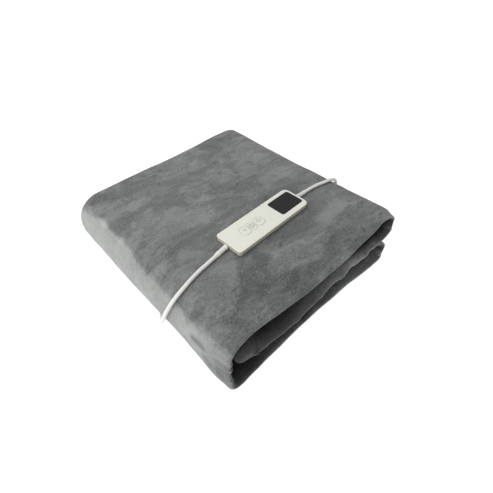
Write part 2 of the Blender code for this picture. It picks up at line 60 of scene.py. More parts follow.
# ---- the folds, as in the solid ----
SHEET = 9 * MM
PACK_HEIGHT = 95 * MM
TOP_Z = PACK_HEIGHT - SHEET / 2
BOTTOM_Z = SHEET / 2
PLY_GAP = 3 * MM
WRAP_REACH = 176.5 * MM
WRAP_DEPTH = 51 * MM
UPPER_LOOP_REACH = 179.5 * MM
UPPER_LOOP_DEPTH = 37.5 * MM
LOWER_LOOP_REACH = 168 * MM
LOWER_LOOP_DEPTH = 32 * MM
WRAP_X = WRAP_DEPTH - WRAP_REACH  # where each fold begins
UPPER_LOOP_X = UPPER_LOOP_REACH - UPPER_LOOP_DEPTH
LOWER_LOOP_X = LOWER_LOOP_REACH - LOWER_LOOP_DEPTH
HALF_GAP = (SHEET + PLY_GAP) / 2
FOLD_SQUARENESS = 2.3
FRONT_SQUARENESS = 7.0  # of the upper half
FRONT_SQUARENESS_LOW = 5.0
LOOP_SQUARENESS = 2.8
FRONT_LOOP_SQUARENESS = 6.0
LOOP_SAG = 5.5 * MM
UPPER_HEM_X = -157 * MM
LOWER_HEM_X = -147 * MM
UPPER_LOOP_PULL = 2.5 * MM
LOWER_LOOP_PULL = 5.5 * MM
BACK_PULL = 1 * MM
CORNER_LENGTH = 34 * MM
LOOP_CORNER_LENGTH = 20 * MM

# The height of the slit between the two flaps along X: at the front, inside, at the back
FlapStation = namedtuple("FlapStation", "x front inside back")
FLAP_STATIONS = (
    FlapStation(-152 * MM, 65 * MM, 52 * MM, 55 * MM),
    FlapStation(-107 * MM, 45 * MM, 50 * MM, 47 * MM),
    FlapStation(-63 * MM, 38 * MM, 49 * MM, 50 * MM),
    FlapStation(5 * MM, 45 * MM, 48 * MM, 57 * MM),
    FlapStation(45 * MM, 49 * MM, 49 * MM, 50 * MM),
    FlapStation(95 * MM, 44 * MM, 49 * MM, 43 * MM),
    FlapStation(142 * MM, 43.5 * MM, 50 * MM, 48 * MM),
)
FLAP_DEPTH = 95 * MM  # how far in from each end its height changes

# One row for each run of the sheet: its cells, its front and back edges at its start
# and at its middle, and how far its rims are thinned at its start
Run = namedtuple("Run", "name cells front front_middle back back_middle thin")
RUNS = (
    Run("upper flap", 96, -177 * MM, -180 * MM, 185 * MM, 186 * MM, 1.0),
    Run("upper loop", 44, -181 * MM, -181 * MM, 188 * MM, 193 * MM, 1.0),
    Run("top", 92, -177 * MM, -180 * MM, 195 * MM, 193 * MM, 1.0),
    Run("wrap", 66, -171.5 * MM, -179 * MM, 192 * MM, 190 * MM, 0.6),
    Run("bottom", 40, -179 * MM, -178.5 * MM, 185 * MM, 182 * MM, 0.0),
    Run("lower loop", 36, -186.5 * MM, -186 * MM, 184 * MM, 186 * MM, 0.6),
    Run("lower flap", 52, -178 * MM, -180 * MM, 183 * MM, 181 * MM, 0.6),
)
STRIP_END = Run("hem", 0, -178 * MM, -178 * MM, 182 * MM, 182 * MM, 0.6)
RIM_HALF = 2.6 * MM  # half the thickness of a thinned rim
RIM_GROW = 18 * MM
FINE = 72  # measured steps along a run, before it is divided evenly
RIM_CELLS = 6  # across the round of a rim
FRONT_CELLS = 16  # narrow ones behind the front rim
FRONT_CELL = 2.2 * MM
INNER_CELLS = 70

# Each wave of the top: its height and its lengths along X and Y
TOP_WAVES = (
    (1.6 * MM, 290 * MM, 410 * MM),
    (1.1 * MM, -170 * MM, 260 * MM),
)
LEAD_BAND = (-90 * MM, -24 * MM)  # along Y, where the leads keep the top flat
LEAD_BAND_FADE = 45 * MM
TOP_EDGE_DROOP = 1.7 * MM
WRAP_DRAW = 2.5 * MM  # how far the wrap is drawn in, and how much more at each end
WRAP_DRAW_FADE = (20 * MM, 170 * MM)  # along Y, on the way to the back
FLAP_ROLL = 14 * MM  # the upper flap rolls down over the lower one at the front
FLAP_DROP = 12.5 * MM
HEM_DROP = 25 * MM
HEM_FADE = 60 * MM
NOSE_ROUND = 12 * MM  # the corner of the upper flap at its hem
LOWER_FLAP_RECESS = 17 * MM
ROLL_FADE = (90 * MM, 135 * MM)  # along X, on the way to the loops
LOOP_RIPPLE = 1.7 * MM
RIPPLE_DEPTH = 50 * MM
UPPER_RIPPLES = 3.2  # half waves from the middle of the loop up or down
LOWER_RIPPLES = 2.4
STRAY = 1.6 * MM  # how far the side rims wander
STRAY_DEPTH = 30 * MM
STRAY_SCALE = 22
STRAY_SLICE = 3.7
SWELLS = ((45, 0.5), (110, 0.3))  # the scale and the share of each unevenness
FLOOR_GAP = 0.2 * MM

# A soft mark along a line, in millimetres: its ends, its half width and its amount
Mark = namedtuple("Mark", "x1 y1 z1 x2 y2 z2 width amount")

# Ridges, or troughs where the amount is negative; their amounts are millimetres too
CREASES = (
    Mark(-172, -158, 72, -171, -182, 75, 3.3, -2.4),
    Mark(-172, -160, 59, -171, -182, 62, 3.4, -2.2),
    Mark(-172, -156, 44, -171, -182, 47, 3.3, -2.4),
    Mark(-172, -162, 30, -171, -182, 31, 3.3, -2.0),
    Mark(-172, -160, 66, -171, -182, 68, 3.4, 1.6),
    Mark(-172, -160, 52, -171, -182, 54, 3.6, 2.0),
    Mark(-172, -160, 37, -171, -182, 39, 3.4, 1.6),
    Mark(-158, 172, 86, -166, 150, 78, 4.0, -1.6),
    Mark(-130, -150, 58, -126, -182, 42, 3.4, -3.0),
    Mark(-53, -160, 46, -49, -178, 34, 6.0, -2.0),
    Mark(-1, -162, 50, 4, -178, 38, 6.0, -1.8),
    Mark(40, -156, 52, 50, -180, 42, 8.0, -3.0),
    Mark(62, -156, 52, 80, -180, 44, 9.0, 3.4),
    Mark(98, -160, 48, 112, -180, 44, 7.0, -3.0),
    Mark(122, -160, 49, 134, -180, 46, 7.0, 2.6),
    Mark(-160, 60, 80, -171, 20, 45, 8.0, -1.6),
    Mark(-162, -30, 78, -171, -62, 46, 9.0, -1.4),
)

# Where the pile lies lighter or, where the amount is negative, darker: nap patches on the
# top and smudges on the wrapping fold, with some rows of painted shade
NAP_AND_SHADE_MARKS = (
    Mark(138, 73, 90, 128, -8, 90, 16, 0.17),
    Mark(79, 110, 90, 115, 95, 90, 13, 0.13),
    Mark(102, -98, 90, 90, -130, 90, 11, 0.24),
    Mark(128, -75, 90, 158, -135, 90, 32, 0.3),
    Mark(-28, -99, 90, 6, -114, 90, 9, 0.2),
    Mark(-42, 111, 90, -6, 39, 90, 24, 0.05),
    Mark(-108, -166, 89, -64, -171, 89, 9, 0.14),
    Mark(-51, 157, 90, 15, 161, 90, 12, 0.06),
    Mark(83, 173, 90, 125, 171, 90, 9, -0.24),
    Mark(148, 101, 89, 159, 78, 88, 7, -0.2),
    Mark(-68, -144, 90, -17, -156, 89, 15, -0.2),
    Mark(-117, -38, 91, -100, -45, 91, 7, -0.17),
    Mark(16, -134, 90, 47, -146, 90, 10, -0.14),
    Mark(68, -165, 90, 117, -174, 89, 9, -0.12),
    Mark(-110, -129, 90, -80, -138, 90, 9, -0.08),
    Mark(-174, -118, 67, -173, -136, 71, 4.6, -0.75),
    Mark(-172, -140, 53, -172, -147, 43, 5.2, -0.6),
    Mark(-172, -162, 41, -171, -170, 37, 4.2, -0.45),
    Mark(-156, 160, 85, -148, 174, 87, 3.4, -0.35),
    # The next row: painted shade at the back left corner of the top
    Mark(-150, 150, 88, -140, 178, 90, 16, -0.14),
    Mark(-95, -20, 90, -88, -14, 90, 5, -0.2),
    Mark(-128, 8, 90, -120, 4, 90, 4, -0.18),
    # Darker towards the front of the wrapping fold and lighter at its back; the last row
    # is painted shade along its foot near the floor
    Mark(-172, -190, 60, -172, -155, 20, 42, -0.4),
    Mark(-168, 110, 60, -168, 180, 60, 38, 0.1),
    Mark(-172, -120, 8, -168, 180, 8, 16, -0.3),
)

# Painted shade along the creases on the front of the upper flap, as marks of the same kind
FLAP_CREASE_SHADE = (
    Mark(-130, -150, 58, -126, -176, 48, 2.6, -0.9),
    Mark(44, -150, 50, 50, -178, 42, 6.0, -0.5),
    Mark(101, -156, 46, 110, -178, 44, 5.0, -0.6),
)

# Where the painted sheen of the wrapping fold begins, in millimetres
WRAP_SHEEN_BOUNDARY = (
    (-185, -163), (-171, -163), (-154, -166), (-125, -165), (-102, -165), (-79, -163),
    (-57, -162), (-26, -161), (-2, -161), (39, -157), (66, -155), (106, -156),
    (126, -154), (160, -157), (195, -162),
)
WRAP_SIDE_X = -110 * MM  # nothing on the other side of it belongs to the fold
FAR_FROM_WRAP = -60 * MM
SHEEN_BELOW = 65 * MM  # the fold takes the painted sheen below this height, whatever its place along X
SHEEN_MOST = 20 * MM
ON_TOP = 80 * MM  # what lies higher is seen from above

# How far each layer of noise lightens or darkens the pile
DRIFT = 0.35
PATCHES = 0.34
STREAKS = 0.22
SPOTS = 0.34
FLECKS = 0.24
GRAIN = 1.7
PILE_LEVEL = 0.51  # the share of the way from the shaded to the brushed colour
WRAP_CALM = 0.7  # the share of the unevenness that the wrapping fold loses
WRAP_RAGGED = 8 * MM  # how far the edge of the painted sheen wanders
WRAP_EDGE = (-3 * MM, 5 * MM)

PAINTED_BACK_LIGHT = 0.16  # painted light: how much lighter the top is painted towards the back
PAINTED_BACK_LIGHT_FADE = (-130 * MM, 40 * MM)
FLAP_PAINTED_LIGHT = 0.55  # painted light: how much lighter the front of the upper flap is painted
FLAP_PAINTED_LIGHT_FADE = (30 * MM, 90 * MM)
FLAP_PAINTED_LIGHT_REACH = (26 * MM, 15 * MM)  # on the left, and towards the loop

# Painted shade between the folds: how much of its own colour the pile there keeps, at the
# rim and deep inside, on the left and on the right
Kept = namedtuple("Kept", "rim_left rim_right deep_left deep_right")
KEPT_ABOVE_SLIT = Kept(0.26, 0.8, 0.16, 0.62)
KEPT_ELSEWHERE = Kept(0.5, 1.0, 0.2, 0.55)
RIGHTWARD_FADE = (-100 * MM, 90 * MM)
MOUTH_FADE = (55 * MM, 110 * MM)  # where the mouth over the flap narrows
KEPT_IN_MOUTH = 0.05
INNER_START = 3 * MM
INNER_REACH = (20 * MM, 12 * MM)  # on the left, and towards the loop

# Painted shade on a loop under the layer above it: the heights between which it darkens,
# and what it keeps
Under = namedtuple("Under", "heights rim deep")
SHADE_UNDER_LAYER = {
    "upper loop": Under((56 * MM, 68 * MM), 0.2, 0.03),
    "lower loop": Under((14 * MM, 24 * MM), 0.25, 0.1),
}

# ---- the controller and leads, as in the solids ----
SIDE_WALL_SHADE = (0.7, 0.66, 0.58)  # painted shade: multiplies the shell's colour on its side walls
CONTROLLER_MIDDLE = (12.55 * MM, -53.1 * MM)
CONTROLLER_TURN = math.radians(1.4)
CONTROLLER_LENGTH = 151.5 * MM
COVER_TOP = 103.6 * MM
KEY_TOP = 103.9 * MM
KEY_PAD = (-25.5 * MM, 1 * MM)  # the middle of the line round the keys
KEY_PAD_LENGTH = 46.5 * MM
KEY_PAD_WIDTH = 19.5 * MM
KEY_PAD_CORNER = 6.5 * MM
KEY_PAD_LINE = 0.8 * MM
KEY_PAD_RISE = 0.1 * MM
SIGN_LINE = 0.55 * MM
SIGN_RISE = 0.04 * MM
LINE_SINK = 0.1 * MM  # how deep a raised line begins under its surface
KEY_PAD_STEPS = 8  # round each of its corners
POWER_SIGN = (-39.0 * MM, 2.6 * MM)
POWER_RADIUS = 2.1 * MM
POWER_RING = (120, 420)  # in degrees, open at the top
POWER_BAR = (0.4 * MM, 2.7 * MM)
HEAT_SIGN = (-26.0 * MM, 1.4 * MM)
HEAT_RADII = (4.3 * MM, 2.1 * MM)
TIMER_SIGN = (-10.6 * MM, 2.8 * MM)
TIMER_RADIUS = 3.4 * MM
TIMER_HANDS = (1.5 * MM, 2.2 * MM)
LEAD_EXIT_Z = 99.4 * MM
BLANKET_EXIT_ACROSS = 0.9 * MM
MAINS_EXIT_ACROSS = -0.4 * MM
BLANKET_EXIT_WAY = (-0.9909, -0.1332, -0.0208)
MAINS_EXIT_WAY = (0.9999, -0.004, -0.0135)
LEAD_STEP = 3 * MM
CURVE_CUTS = 16  # steps between two given points, before they are spaced evenly
LATHE_STEPS = 36
MERGE_WITHIN = 1e-6

BLANKET_LEAD_ROUTE = (
    (-0.0778, -0.0561, 0.0991),
    (-0.0873, -0.0575, 0.0989),
    (-0.0932, -0.0583, 0.0988),
    (-0.0994, -0.0591, 0.0987),
    (-0.1072, -0.0602, 0.0986),
    (-0.1156, -0.0612, 0.0985),
    (-0.1248, -0.0628, 0.0983),
    (-0.1356, -0.0652, 0.0981),
    (-0.1470, -0.0674, 0.0963),
    (-0.1584, -0.0687, 0.0928),
    (-0.1694, -0.0686, 0.0856),
    (-0.1788, -0.0669, 0.0740),
    (-0.1840, -0.0629, 0.0596),
    (-0.1854, -0.0560, 0.0442),
    (-0.1820, -0.0450, 0.0270),
    (-0.1736, -0.0300, 0.0126),
    (-0.1662, -0.0100, 0.0046),
    (-0.1636, 0.0140, 0.0030),
    (-0.1634, 0.0450, 0.0030),
    (-0.1634, 0.0800, 0.0030),
    (-0.1634, 0.1150, 0.0030),
    (-0.1634, 0.1500, 0.0030),
    (-0.1638, 0.1800, 0.0030),
    (-0.1633, 0.2040, 0.0030),
    (-0.1596, 0.2200, 0.0030),
    (-0.1496, 0.2330, 0.0030),
    (-0.1340, 0.2398, 0.0030),
    (-0.1180, 0.2378, 0.0033),
    (-0.1064, 0.2294, 0.0044),
    (-0.1010, 0.2188, 0.0053),
    (-0.1005, 0.2072, 0.0053),
    (-0.1005, 0.2000, 0.0053),
)
BOOT_FACE = (-0.1005, 0.1848, 0.0053)

MAINS_LEAD_ROUTE = (
    (0.1020, -0.0517, 0.0992),
    (0.1110, -0.0519, 0.0991),
    (0.1174, -0.0520, 0.0990),
    (0.1239, -0.0522, 0.0989),
    (0.1314, -0.0528, 0.0987),
    (0.1402, -0.0540, 0.0985),
    (0.1492, -0.0559, 0.0984),
    (0.1582, -0.0578, 0.0983),
    (0.1668, -0.0592, 0.0976),
    (0.1744, -0.0600, 0.0954),
    (0.1806, -0.0604, 0.0914),
    (0.1850, -0.0606, 0.0860),
    (0.1875, -0.0607, 0.0792),
    (0.1883, -0.0607, 0.0690),
    (0.1886, -0.0605, 0.0560),
    (0.1892, -0.0592, 0.0420),
    (0.1899, -0.0544, 0.0286),
    (0.1904, -0.0462, 0.0170),
    (0.1905, -0.0364, 0.0088),
    (0.1905, -0.0276, 0.0046),
    (0.1905, -0.0207, 0.0035),
)
MAINS_TAIL_ROUTE = (
    (0.1905, 0.0207, 0.0138),
    (0.1912, 0.0330, 0.0110),
    (0.1936, 0.0460, 0.0068),
    (0.1980, 0.0590, 0.0039),
    (0.2036, 0.0710, 0.0034),
    (0.2086, 0.0820, 0.0046),
    (0.2122, 0.0920, 0.0070),
    (0.2130, 0.0980, 0.0075),
    (0.2130, 0.1100, 0.0075),
)
# The coil's turns in the order that the lead lays them: radius and height
CoilTurn = namedtuple("CoilTurn", "radius z")
COIL_TURNS = (
    CoilTurn(35.5 * MM, 3.45 * MM),
    CoilTurn(30.0 * MM, 3.45 * MM),
    CoilTurn(24.5 * MM, 3.45 * MM),
    CoilTurn(24.5 * MM, 8.95 * MM),
    CoilTurn(30.0 * MM, 8.95 * MM),
    CoilTurn(35.5 * MM, 8.95 * MM),
    CoilTurn(30.0 * MM, 14.45 * MM),
    CoilTurn(35.5 * MM, 14.45 * MM),
)
COIL_MIDDLE = (226 * MM, 0.0)
COIL_SHIFT = 0.25  # the part of a turn in which the lead moves over to the next one
TURN_POINTS = 48

# Turned pieces, as (distance along, radius)
BLANKET_RELIEF = (
    (0.8 * MM, 3.3 * MM),
    (2.0 * MM, 3.3 * MM),
    (2.3 * MM, 3.9 * MM),
    (5.0 * MM, 3.9 * MM),
    (5.3 * MM, 3.6 * MM),
    (16.2 * MM, 3.5 * MM),
    (16.5 * MM, 3.8 * MM),
    (19.8 * MM, 3.75 * MM),
    (20.2 * MM, 3.3 * MM),
    (24.0 * MM, 3.1 * MM),
)
MAINS_RELIEF = (
    (0.5 * MM, 3.9 * MM),
    (2.6 * MM, 3.9 * MM),
    (3.0 * MM, 3.7 * MM),
    (22.0 * MM, 3.1 * MM),
)
BLANKET_BOOT = (
    (0.0, 4.7 * MM),
    (4.0 * MM, 4.7 * MM),
    (4.3 * MM, 4.2 * MM),
    (22.0 * MM, 3.3 * MM),
)

# ---- the stage ----
CAMERA_PLACE = (-0.278, -0.314, 0.4535)
CAMERA_HEADING = (0.6966, 0.7176, 0)
SENSOR_WIDTH = 36
LIGHT_AIM = (0, 0, 0.05)
Light = namedtuple("Light", "name place size")
LIGHTS = (
    Light("overhead", (-0.15, 0.25, 1.1), 1.1),
    Light("side", (-1.1, -0.1, 0.55), 0.8),
)
SURROUNDINGS = 0.45
FLOOR_HALF = 6
FLOOR_TONES = (0.42, 0.43)
FLOOR_GLOW = 0.85


# ---- shader maths ----


class Signal:
    """A socket in a material's node tree; an expression on signals adds its nodes."""

    def __init__(self, tree, socket=None):
        self.tree = tree
        self.socket = socket

    def node(self, kind, settings, inputs, output=0):
        """Adds a node: its settings first, then the values or links of its sockets."""
        made = self.tree.nodes.new(kind)
        for name, value in settings.items():
            if name == "stops":
                place_stops(made.color_ramp, value)
            else:
                setattr(made, name, value)
        for name, value in inputs.items():
            if isinstance(value, Signal):
                self.tree.links.new(value.socket, made.inputs[name])
            else:
                made.inputs[name].default_value = value
        return Signal(self.tree, made.outputs[output])

    def maths(self, operation, *values):
        values = dict(enumerate(values))
        return self.node("ShaderNodeMath", {"operation": operation}, values)

    def __add__(self, other):
        return self.maths("ADD", self, other)

    def __sub__(self, other):
        return self.maths("SUBTRACT", self, other)

    def __rsub__(self, other):
        return self.maths("SUBTRACT", other, self)

    def __mul__(self, other):
        return self.maths("MULTIPLY", self, other)

    __radd__ = __add__
    __rmul__ = __mul__

    def between(self, low, high):
        """0 at low, 1 at high, and eased in between."""
        settings = {"interpolation_type": "SMOOTHSTEP"}
        inputs = {"Value": self, "From Min": low, "From Max": high}
        return self.node("ShaderNodeMapRange", settings, inputs)

    def noise(self, scale, detail=2.0, roughness=0.5, distortion=0.0):
        """Noise at these coordinates."""
        inputs = {
            "Vector": self, "Scale": scale, "Detail": detail,
            "Roughness": roughness, "Distortion": distortion,
        }
        return self.node("ShaderNodeTexNoise", {}, inputs)

    def stretched(self, scale, turn=0.0):
        """These coordinates, scaled by a vector and turned about Z."""
        inputs = {"Vector": self, "Rotation": (0, 0, turn), "Scale": scale}
        return self.node("ShaderNodeMapping", {"vector_type": "POINT"}, inputs)

    def attribute(self, name):
        """A number that the mesh holds for each of its vertices."""
        return self.node("ShaderNodeAttribute", {"attribute_name": name}, {}, 2)

    def axis(self, name):
        return self.node("ShaderNodeSeparateXYZ", {}, {"Vector": self}, "XYZ".index(name))

    def tint(self, low, high):
        """A colour from low to high by this factor."""
        settings = {"data_type": "RGBA"}
        return self.node("ShaderNodeMix", settings, {0: self, 6: low, 7: high}, 2)

    def dyed(self, colour):
        """This colour multiplied by another."""
        settings = {"data_type": "RGBA", "blend_type": "MULTIPLY", "clamp_result": False}
        return self.node("ShaderNodeMix", settings, {0: 1.0, 6: self, 7: colour}, 2)


def place_stops(ramp, stops):
    while len(ramp.elements) < len(stops):
        ramp.elements.new(1.0)
    for element, (place, colour) in zip(ramp.elements, stops):
        element.position = place
        element.color = colour


def solid_colour(colour):
    return (*colour, 1.0)


def scaled_colour(colour, share):
    return (*(min(part * share, 1.0) for part in colour), 1.0)


def two_tones(colour, low, high):
    """A darker and a lighter tone of a colour."""
    return scaled_colour(colour, low), scaled_colour(colour, high)


def new_finish(name):
    """A material, its shader node, a start for its signals, and its coordinates."""
    finish = bpy.data.materials.new(name)
    finish.use_nodes = True
    tree = finish.node_tree
    shader = tree.nodes["Principled BSDF"]
    start = Signal(tree)
    place = start.node("ShaderNodeTexCoord", {}, {}, "Object")
    return finish, shader, start, place


def connect(shader, **signals):
    """Links signals to a shader's sockets, named with _ for a space."""
    tree = shader.id_data
    for name, signal in signals.items():
        tree.links.new(signal.socket, shader.inputs[name.replace("_", " ")])


def bump(start, height, distance, strength=1.0):
    inputs = {"Height": height, "Distance": distance, "Strength": strength}
    return start.node("ShaderNodeBump", {}, inputs)


def plush_finish(cloth):
    """Short brushed pile: nap patches and streaks, small pressed spots and grain."""
    finish, shader, start, place = new_finish("plush_pile")
    turned = place.stretched((0.5, 1, 1), math.radians(45))
    drift = place.noise(6)
    patches = turned.noise(17, 4.0, 0.62, 0.7).between(0.44, 0.58)
    streaks = turned.noise(46, 3.0, 0.6, 1.1).between(0.46, 0.62)
    spots = turned.noise(88, 2.0, 0.55, 0.6).between(0.63, 0.72)
    grain = place.noise(400, 3.0, 0.8)
    flecks = place.noise(190, 3.0, 0.7).between(0.57, 0.7)
    wander = (place.noise(60, 4.0, 0.65, 0.5) - 0.5) * WRAP_RAGGED
    # painted sheen: the wrapping fold is painted paler, its edge made ragged
    wrap_sheen = (start.attribute("pale") + wander).between(*WRAP_EDGE)
    uneven = (drift - 0.5) * DRIFT + (patches - 0.5) * PATCHES
    uneven = uneven + (streaks - 0.5) * STREAKS - spots * SPOTS
    uneven = uneven + flecks * FLECKS + (grain - 0.5) * GRAIN
    # the nap attribute adds nap patches as well as painted light and shade
    level = PILE_LEVEL + uneven * (1 - wrap_sheen * WRAP_CALM) + start.attribute("nap")
    stops = (
        (0.0, solid_colour(cloth.shaded)),
        (0.5, solid_colour(cloth.pile)),
        (1.0, solid_colour(cloth.brushed)),
    )
    colour = start.node("ShaderNodeValToRGB", {"stops": stops}, {"Fac": level})
    # painted sheen: the wrapping fold's colour is multiplied by its sheen tint
    colour = wrap_sheen.tint(colour, colour.dyed(solid_colour(cloth.painted_sheen_tint)))
    # painted shade between the folds: the colour darkened by the inner tint where the
    # between attribute says
    inner = colour.dyed(solid_colour(cloth.painted_fold_shade_tint))
    connect(shader, Base_Color=start.attribute("between").tint(colour, inner))
    fibres = place.noise(620, 3.0, 0.75) * 0.6 + patches * 0.15 + streaks * 0.2
    connect(shader, Normal=bump(start, fibres, cloth.pile_height))
    shader.inputs["Roughness"].default_value = 0.95
    shader.inputs["Specular IOR Level"].default_value = 0.12
    shader.inputs["Sheen Weight"].default_value = 0.25
    shader.inputs["Sheen Roughness"].default_value = 0.5
    return finish


def plastic_finish(name, colour, roughness, grain):
    """Moulded plastic: a fine even grain, faint clouding and painted shade on the side
    walls.
    """
    finish, shader, start, place = new_finish(name)
    tones = place.noise(30).tint(*two_tones(colour, 0.975, 1.02))
    # painted shade: walls that face sideways take the darker side tint
    upward = start.node("ShaderNodeNewGeometry", {}, {}, "Normal").axis("Z")
    side = tones.dyed(solid_colour(SIDE_WALL_SHADE))
    connect(shader, Base_Color=upward.between(0.1, 0.8).tint(side, tones))
    rub = place.noise(140, 3.0, 0.6)
    connect(shader, Roughness=rub * 0.12 + (roughness - 0.06))
    connect(shader, Normal=bump(start, place.noise(2600, 1.0), grain, 0.5))
    return finish


def sheath_finish(settings):
    finish, shader, start, place = new_finish("soft_sheath")
    tones = place.noise(45).tint(*two_tones(settings.sheath, 0.97, 1.02))
    connect(shader, Base_Color=tones)
    connect(shader, Roughness=place.noise(220) * 0.15 + 0.4)
    connect(shader, Normal=bump(start, place.noise(1700), 0.00004, 0.6))
    return finish


def window_finish(panel):
    finish, shader, start, place = new_finish("smoked_window")
    tones = place.noise(25).tint(*two_tones(panel.window, 0.85, 1.15))
    connect(shader, Base_Color=tones)
    connect(shader, Roughness=place.noise(300, 3.0) * 0.08 + 0.18)
    shader.inputs["Specular IOR Level"].default_value = 0.4
    return finish


def pin_finish():
    finish, shader, start, place = new_finish("drawn_metal")
    lines = place.stretched((1.0, 0.04, 1.0)).noise(2400, 2.0, 0.6)
    connect(shader, Base_Color=lines.tint((0.62, 0.6, 0.57, 1), (0.8, 0.79, 0.77, 1)))
    connect(shader, Roughness=lines * 0.2 + 0.2)
    shader.inputs["Metallic"].default_value = 1.0
    return finish


# ---- meshes ----


def mix(a, b, share):
    return a + (b - a) * share


def ease(share):
    share = min(max(share, 0.0), 1.0)
    return share * share * (3 - 2 * share)


def near(depth, reach):
    """1 at no depth, 0 from the reach on, and eased in between."""
    return 1 - ease(depth / reach)


def fade(value, ends):
    """0 at the first end, 1 at the second, and eased in between."""
    start, end = ends
    return ease((value - start) / (end - start))


def add_piece(name, shape, finish, replaces=(), sharp=40, body=BODY):
    """Turns a bmesh into a piece; edges of more than sharp degrees aren't smoothed."""
    bmesh.ops.recalc_face_normals(shape, faces=shape.faces)
    mesh = bpy.data.meshes.new(name)
    shape.to_mesh(mesh)
    shape.free()
    mesh.shade_smooth()
    mesh.set_sharp_from_angle(angle=math.radians(sharp))
    mesh.materials.append(finish)
    item = bpy.data.objects.new(name, mesh)
    bpy.context.scene.collection.objects.link(item)
    return attach(item, replaces, body)


def attach(item, replaces=(), body=BODY):
    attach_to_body(item, body)
    if replaces:
        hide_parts(*replaces)
    return item


def lathe(name, profile, finish, start, way, replaces):
    """A turned piece from start along way; its profile is (distance along, radius)."""
    shape = bmesh.new()
    turn = Vector((0, 0, 1)).rotation_difference(Vector(way)).to_matrix()
    first, last = profile[0][0], profile[-1][0]
    outline = [(first, 0.0), *profile, (last, 0.0)]
    verts = [shape.verts.new((radius, 0, along)) for along, radius in outline]
    edges = [shape.edges.new(pair) for pair in zip(verts, verts[1:])]
    bmesh.ops.spin(
        shape, geom=verts + edges, cent=(0, 0, 0), axis=(0, 0, 1),
        angle=2 * math.pi, steps=LATHE_STEPS, use_merge=True,
    )
    bmesh.ops.remove_doubles(shape, verts=shape.verts, dist=MERGE_WITHIN)
    for vert in shape.verts:
        vert.co = turn @ vert.co + Vector(start)
    return add_piece(name, shape, finish, replaces)


def curve_point(four, share):
    """A point between the middle two of four, on the centripetal curve through all."""
    a, b, c, d = four
    ka = 0.0
    kb = ka + (b - a).length ** 0.5
    kc = kb + (c - b).length ** 0.5
    kd = kc + (d - c).length ** 0.5
    k = mix(kb, kc, share)
    ab = a.lerp(b, (k - ka) / (kb - ka))
    bc = b.lerp(c, (k - kb) / (kc - kb))
    cd = c.lerp(d, (k - kc) / (kd - kc))
    abc = ab.lerp(bc, (k - ka) / (kc - ka))
    bcd = bc.lerp(cd, (k - kb) / (kd - kb))
    return abc.lerp(bcd, (k - kb) / (kc - kb))


def smooth_route(points, step):
    """Points a step apart along one smooth curve through the given ones."""
    given = [Vector(point) for point in points]
    ends = [2 * given[0] - given[1], *given, 2 * given[-1] - given[-2]]
    fine = []
    for four in zip(ends, ends[1:], ends[2:], ends[3:]):
        fine += [curve_point(four, part / CURVE_CUTS) for part in range(CURVE_CUTS)]
    fine.append(given[-1])
    lengths = lengths_along(fine)
    places = even_places(lengths, max(2, round(lengths[-1] / step)))
    return [fine[k].lerp(fine[k + 1], share) for k, share in places]


def lengths_along(points):
    """How long the line through the points is up to each of them."""
    lengths = [0.0]
    for one, other in zip(points, points[1:]):
        lengths.append(lengths[-1] + (other - one).length)
    return lengths


def even_places(lengths, cells):
    """Even places on a line: for each the point before it, and the share from there."""
    places = []
    k = 0
    for cell in range(cells + 1):
        want = lengths[-1] * cell / cells
        while k < len(lengths) - 2 and lengths[k + 1] < want:
            k += 1
        span = lengths[k + 1] - lengths[k]
        share = (want - lengths[k]) / span if span else 0.0
        places.append((k, min(share, 1.0)))
    return places


def route_length(points):
    return lengths_along(points)[-1]


def tube(name, points, diameter, finish, replaces):
    curve = bpy.data.curves.new(name, "CURVE")
    curve.dimensions = "3D"
    curve.bevel_depth = diameter / 2
    curve.bevel_resolution = 4
    curve.use_fill_caps = True
    spline = curve.splines.new("POLY")
    spline.points.add(len(points) - 1)
    for point, place in zip(spline.points, points):
        point.co = (*place, 1)
    spline.use_smooth = True
    curve.materials.append(finish)
    item = bpy.data.objects.new(name, curve)
    bpy.context.scene.collection.objects.link(item)
    return attach(item, replaces)


# ---- the sheet ----


def flap_height(x, column):
    for one, other in zip(FLAP_STATIONS, FLAP_STATIONS[1:]):
        if x <= other.x:
            share = fade(x, (one.x, other.x))
            return mix(getattr(one, column), getattr(other, column), share)
    return getattr(FLAP_STATIONS[-1], column)


def flap_middle(x, front_depth, back_depth):
    inside = flap_height(x, "inside")
    front = flap_height(x, "front") - inside
    back = flap_height(x, "back") - inside
    front *= near(front_depth, FLAP_DEPTH)
    back *= near(back_depth, FLAP_DEPTH)
    return inside + front + back


def top_height(x, y, front_depth):
    low, high = LEAD_BAND
    outside = max(low - y, y - high, 0.0)
    free = ease(outside / LEAD_BAND_FADE)
    wave = 0.0
    for height, along_x, along_y in TOP_WAVES:
        phase = 2 * math.pi * (x / along_x + y / along_y)
        wave += height * (1 - math.cos(phase)) / 2
    droop = TOP_EDGE_DROOP * near(front_depth, CORNER_LENGTH)
    return TOP_Z - wave * free - droop


def rolled_share(x):
    """How far the upper flap rolls over the lower one: all the way, short of the loops."""
    return 1 - fade(x, ROLL_FADE)


def roll_drop(x, front_depth):
    most = mix(HEM_DROP, FLAP_DROP, ease((x - UPPER_HEM_X) / HEM_FADE))
    turned = max(1 - front_depth / FLAP_ROLL, 0.0)
    return most * rolled_share(x) * (1 - math.sqrt(1 - turned * turned))


def ripple(turn, waves, front_depth):
    """Short pleats one above another inside the front end of a loop."""
    up = math.sin(turn)
    height = LOOP_RIPPLE * near(front_depth, RIPPLE_DEPTH)
    return height * (1 - up * up) * math.sin(math.pi * waves * up)


def fold_point(centre_x, centre_z, reach, half_height, angle, squareness, sag=0.0):
    """A point on a squared-off ellipse; a negative reach folds towards -X.

    The sag draws its upper half in and lets its lower half out.
    """
    power = 2 / squareness
    across = abs(math.cos(angle)) ** power
    up = math.copysign(abs(math.sin(angle)) ** power, math.sin(angle))
    return centre_x + (reach - sag * up) * across, centre_z + half_height * up


def back_pull(back_depth):
    return BACK_PULL * near(back_depth, CORNER_LENGTH)


